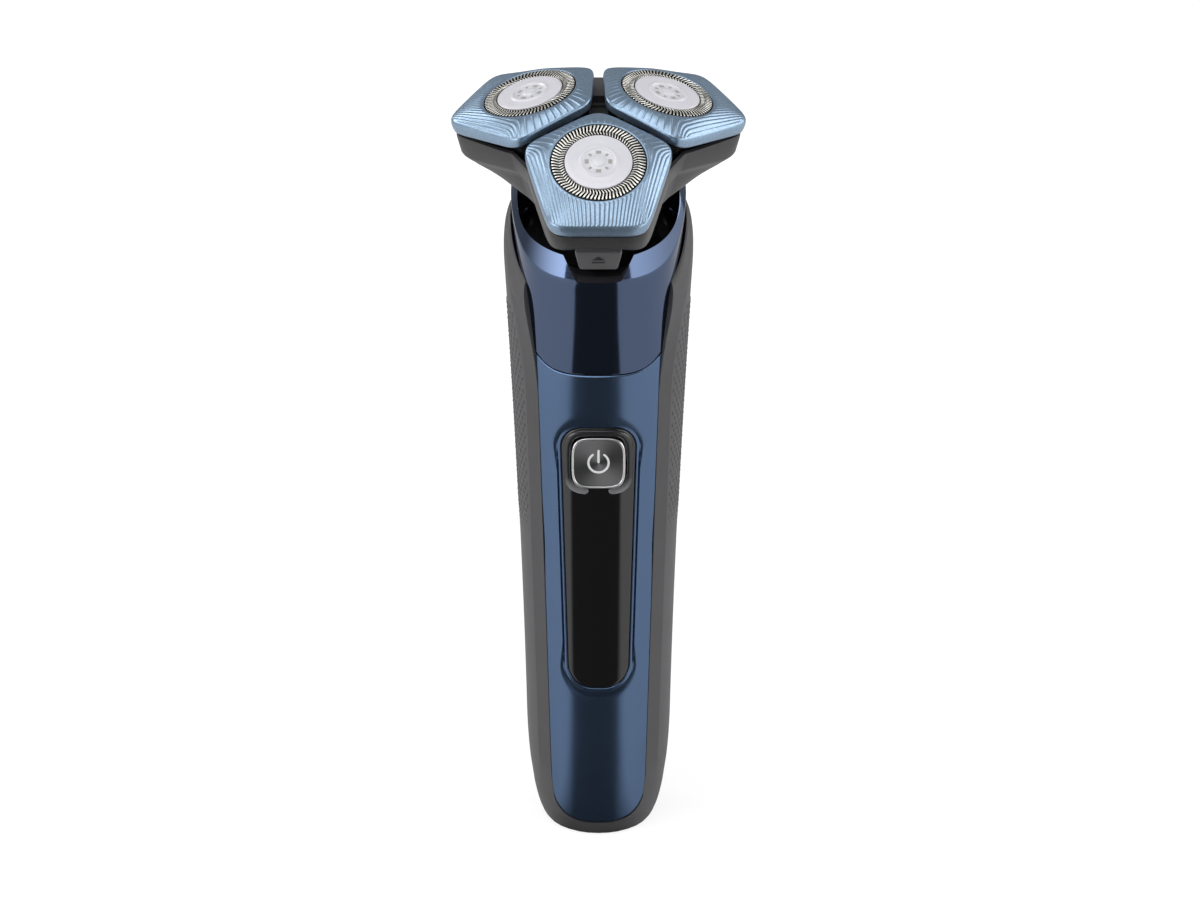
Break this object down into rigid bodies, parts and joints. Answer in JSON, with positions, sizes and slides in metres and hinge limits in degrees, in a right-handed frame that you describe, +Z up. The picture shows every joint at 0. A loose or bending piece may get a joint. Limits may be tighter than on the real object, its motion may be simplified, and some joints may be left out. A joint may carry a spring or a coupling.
{
  "type": "rotary electric shaver",
  "caption": "Upright rotary electric shaver with flexing round cutter heads in angular caps, a hinged lift-off shaving unit, gloss collar, front power button and display window.",
  "frame": {"origin": "middle of the base's flat face, on which the shaver stands", "axes": "+Z up along the handle, -Y towards the front with the power button, +X to the viewer's right when the front is faced"},
  "size_m": [0.0604, 0.0568, 0.1642],
  "materials": {
    "soft_dark": "matt soft touch",
    "satin_blue": "satin metallic",
    "gloss_blue": "high gloss metallic",
    "gloss_black": "gloss",
    "lens_black": "mirror gloss",
    "matt_dark": "fine matt",
    "matt_black": "matt",
    "board": "solder mask",
    "steel": "satin",
    "cell_wrap": "shrink wrap",
    "seal": "matt",
    "chrome_trim": "polished",
    "winding": "enamelled",
    "button_face": "radial brushed",
    "gear_white": "moulded",
    "pale_blue": "metallic satin",
    "guard_steel": "fine ground",
    "pearl_white": "pearl"
  },
  "bodies": {
    "handle": {"grip_shell": "soft_dark", "front_panel": "satin_blue", "collar": "gloss_blue", "collar_deck": "gloss_black", "display_lens": "lens_black", "button_surround": "matt_dark", "display_board": "board", "board_link": "matt_black", "main_board": "board", "tact_switch": "steel", "chassis": "matt_dark", "battery": "cell_wrap", "battery_tabs": "steel", "motor_mount": "matt_dark", "motor_can": "steel", "motor_cap": "matt_black", "shaft_seal": "seal", "socket_housing": "matt_black", "socket_pins": "chrome_trim", "board_screws": "steel", "motor_screws": "steel"},
    "rotor": {"motor_shaft": "steel", "motor_armature": "winding", "drive_dog": "matt_black"},
    "power_key": {"power_button": "button_face", "button_ring": "chrome_trim"},
    "shaving_unit": {"unit_base": "matt_dark", "bowl_plate": "matt_dark", "hinge_pin": "steel", "plate_screws": "steel"},
    "release_key": {"release_button": "matt_dark"},
    "sun": {"sun_gear": "gear_white"},
    "holder": {"head_holder": "matt_dark"},
    "planet_1": {"planet_gear_1": "gear_white"},
    "gimbal_1": {"gimbal_ring_1": "steel"},
    "head_1": {"cap_1": "pale_blue", "guard_1": "guard_steel", "disc_1": "pearl_white", "retainer_1": "matt_dark"},
    "blade_1": {"cutter_1": "steel"},
    "planet_2": {"planet_gear_2": "gear_white"},
    "gimbal_2": {"gimbal_ring_2": "steel"},
    "head_2": {"cap_2": "pale_blue", "guard_2": "guard_steel", "disc_2": "pearl_white", "retainer_2": "matt_dark"},
    "blade_2": {"cutter_2": "steel"},
    "planet_3": {"planet_gear_3": "gear_white"},
    "gimbal_3": {"gimbal_ring_3": "steel"},
    "head_3": {"cap_3": "pale_blue", "guard_3": "guard_steel", "disc_3": "pearl_white", "retainer_3": "matt_dark"},
    "blade_3": {"cutter_3": "steel"}
  },
  "joints": [
    {"name": "drive_spin", "type": "hinge", "parent": "handle", "child": "rotor", "pos_m": [0, 0, 0.1282], "axis": [0, -0.3256, 0.9455], "continuous": true},
    {"name": "power_press", "type": "slide", "parent": "handle", "child": "power_key", "axis": [0, 1, 0], "range_m": [0, 0.0005], "stiffness_N_per_m": 400},
    {"name": "unit_pull", "type": "slide", "parent": "handle", "child": "shaving_unit", "axis": [0, -0.3256, 0.9455], "range_m": [0, 0.022]},
    {"name": "release_press", "type": "slide", "parent": "shaving_unit", "child": "release_key", "axis": [0, 0.9455, 0.3256], "range_m": [0, 0.0007], "stiffness_N_per_m": 400},
    {"name": "sun_spin", "type": "hinge", "parent": "shaving_unit", "child": "sun", "pos_m": [0, -0.00651, 0.14711], "axis": [0, -0.3256, 0.9455], "continuous": true},
    {"name": "holder_flip", "type": "hinge", "parent": "shaving_unit", "child": "holder", "pos_m": [0, 0.01252, 0.15789], "axis": [-1, 0, 0], "range_deg": [0, 70]},
    {"name": "planet_spin_1", "type": "hinge", "parent": "shaving_unit", "child": "planet_1", "pos_m": [0, -0.02013, 0.14242], "axis": [0, -0.3256, 0.9455], "continuous": true},
    {"name": "head_flex_1", "type": "hinge", "parent": "holder", "child": "gimbal_1", "pos_m": [0, -0.02201, 0.14788], "axis": [-1, 0, 0], "range_deg": [0, 6], "stiffness_Nm_per_rad": 0.3},
    {"name": "head_roll_1", "type": "hinge", "parent": "gimbal_1", "child": "head_1", "pos_m": [0, -0.02201, 0.14788], "axis": [0, 0.8141, 0.5807], "range_deg": [-3, 3], "stiffness_Nm_per_rad": 0.3},
    {"name": "cutter_spin_1", "type": "hinge", "parent": "head_1", "child": "blade_1", "pos_m": [0, -0.02201, 0.14788], "axis": [0, -0.5807, 0.8141], "continuous": true},
    {"name": "planet_spin_2", "type": "hinge", "parent": "shaving_unit", "child": "planet_2", "pos_m": [0.01247, 0.0003, 0.14945], "axis": [0, -0.3256, 0.9455], "continuous": true},
    {"name": "head_flex_2", "type": "hinge", "parent": "holder", "child": "gimbal_2", "pos_m": [0.01247, -0.00158, 0.15491], "axis": [0.5, -0.8188, -0.282], "range_deg": [0, 6], "stiffness_Nm_per_rad": 0.3},
    {"name": "head_roll_2", "type": "hinge", "parent": "gimbal_2", "child": "head_2", "pos_m": [0.01247, -0.00158, 0.15491], "axis": [-0.8304, -0.5458, 0.1125], "range_deg": [-3, 3], "stiffness_Nm_per_rad": 0.3},
    {"name": "cutter_spin_2", "type": "hinge", "parent": "head_2", "child": "blade_2", "pos_m": [0.01247, -0.00158, 0.15491], "axis": [0.246, -0.1779, 0.9528], "continuous": true},
    {"name": "planet_spin_3", "type": "hinge", "parent": "shaving_unit", "child": "planet_3", "pos_m": [-0.01247, 0.0003, 0.14945], "axis": [0, -0.3256, 0.9455], "continuous": true},
    {"name": "head_flex_3", "type": "hinge", "parent": "holder", "child": "gimbal_3", "pos_m": [-0.01247, -0.00158, 0.15491], "axis": [0.5, 0.8188, 0.282], "range_deg": [0, 6], "stiffness_Nm_per_rad": 0.3},
    {"name": "head_roll_3", "type": "hinge", "parent": "gimbal_3", "child": "head_3", "pos_m": [-0.01247, -0.00158, 0.15491], "axis": [0.8304, -0.5458, 0.1125], "range_deg": [-3, 3], "stiffness_Nm_per_rad": 0.3},
    {"name": "cutter_spin_3", "type": "hinge", "parent": "head_3", "child": "blade_3", "pos_m": [-0.01247, -0.00158, 0.15491], "axis": [-0.246, -0.1779, 0.9528], "continuous": true}
  ],
  "couplings": [
    {"joint": "sun_spin", "follows": "drive_spin", "ratio": 1},
    {"joint": "planet_spin_1", "follows": "drive_spin", "ratio": -2},
    {"joint": "cutter_spin_1", "follows": "drive_spin", "ratio": -2},
    {"joint": "planet_spin_2", "follows": "drive_spin", "ratio": -2},
    {"joint": "cutter_spin_2", "follows": "drive_spin", "ratio": -2},
    {"joint": "planet_spin_3", "follows": "drive_spin", "ratio": -2},
    {"joint": "cutter_spin_3", "follows": "drive_spin", "ratio": -2}
  ]
}
